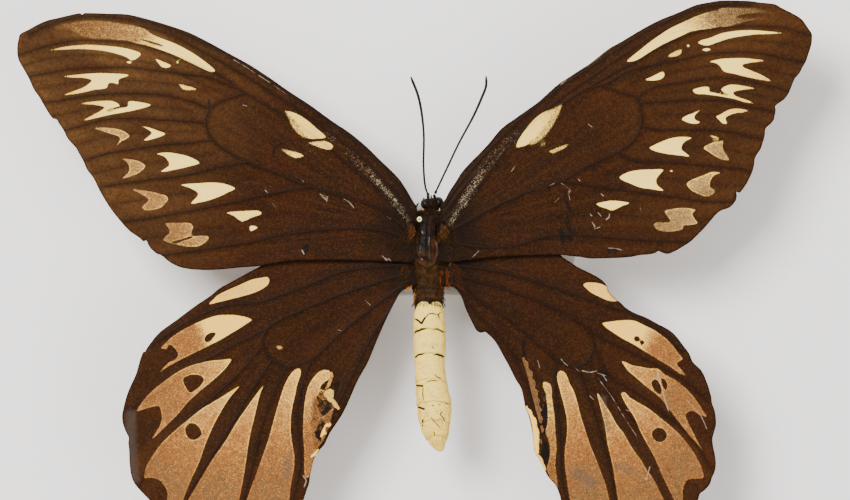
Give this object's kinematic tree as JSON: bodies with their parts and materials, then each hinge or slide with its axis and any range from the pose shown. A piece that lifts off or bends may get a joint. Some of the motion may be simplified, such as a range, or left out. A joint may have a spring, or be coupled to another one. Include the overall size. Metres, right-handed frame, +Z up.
{
  "type": "queen alexandras birdwing",
  "caption": "Life-size spread birdwing butterfly, a female with brown and cream wings, held by a pin over a flat display base.",
  "frame": {"origin": "middle of the display base's underside, under the middle of the thorax", "axes": "+X across the body to the animal's own right wings, +Y along the body to the head, +Z up"},
  "size_m": [0.2503, 0.1746, 0.0435],
  "materials": {
    "wing": "brown scaled membrane with cream and tan spots",
    "cuticle": "glossy near-black cuticle under short hair",
    "abdomen": "cream yellow, dry and slightly cracked",
    "eye": "dark, faceted and glossy",
    "limb": "black, slightly glossy",
    "pin": "steel shaft with a small brassy head",
    "base": "wood with a matt off-white paint"
  },
  "bodies": {
    "root": {"head": "cuticle", "eye_left": "eye", "eye_right": "eye", "antenna_left": "limb", "antenna_right": "limb", "palp_left": "limb", "palp_right": "limb", "proboscis": "limb", "prothorax": "cuticle", "mesothorax": "cuticle", "metathorax": "cuticle", "tegula_left": "cuticle", "tegula_right": "cuticle", "abdomen_1": "cuticle", "abdomen_2": "abdomen", "abdomen_3": "abdomen", "abdomen_4": "abdomen", "abdomen_5": "abdomen", "abdomen_6": "abdomen", "abdomen_7": "abdomen", "abdomen_8": "abdomen", "forewing_left": "wing", "forewing_right": "wing", "hindwing_left": "wing", "hindwing_right": "wing", "leg_front_left": "limb", "leg_front_right": "limb", "leg_middle_left": "limb", "leg_middle_right": "limb", "leg_hind_left": "limb", "leg_hind_right": "limb", "stand_pin": "pin", "stand_base": "base"}
  },
  "joints": []
}
